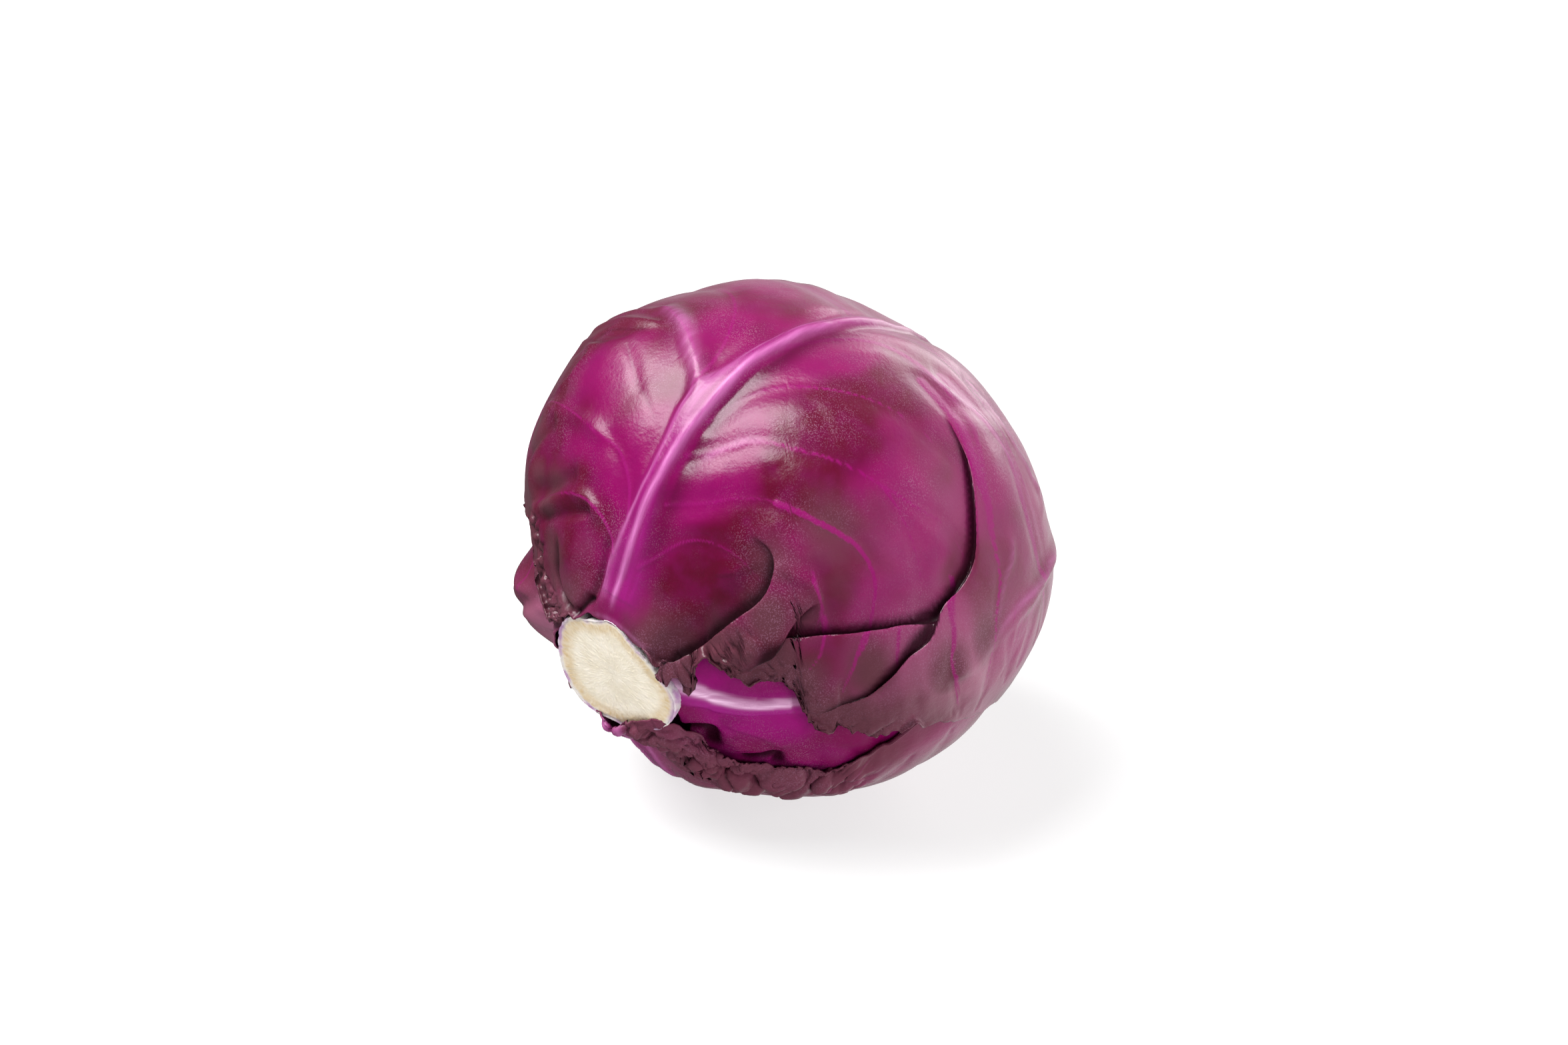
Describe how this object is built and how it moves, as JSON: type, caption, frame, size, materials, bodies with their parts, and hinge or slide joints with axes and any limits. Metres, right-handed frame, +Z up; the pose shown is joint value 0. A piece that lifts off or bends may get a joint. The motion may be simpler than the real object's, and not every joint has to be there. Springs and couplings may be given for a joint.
{
  "type": "cabbage head",
  "caption": "Red cabbage head lying on its side: a cut stem, wrapper leaves with raised midribs and ruffled edges, and a dense inner head.",
  "frame": {"origin": "middle of the flat resting spot, straight below the middle of the head", "axes": "+Z up; the stem points along -Y and 11.8 degrees down; +X to the right when facing the cut stem"},
  "size_m": [0.1586, 0.1437, 0.151],
  "materials": {
    "outer_leaf": "waxy red cabbage leaf, satin, magenta purple with dusty bloom",
    "young_leaf": "waxy red cabbage leaf, satin, brighter magenta",
    "inner_leaves": "tightly folded cabbage leaves, satin",
    "stem": "freshly cut cabbage stem, matt cream with a paler rim"
  },
  "bodies": {
    "root": {"cut_stem": "stem", "inner_head": "inner_leaves", "wrapper_leaf_top": "outer_leaf", "wrapper_leaf_under": "outer_leaf", "wrapper_leaf_front": "young_leaf", "wrapper_leaf_side": "young_leaf"}
  },
  "joints": []
}
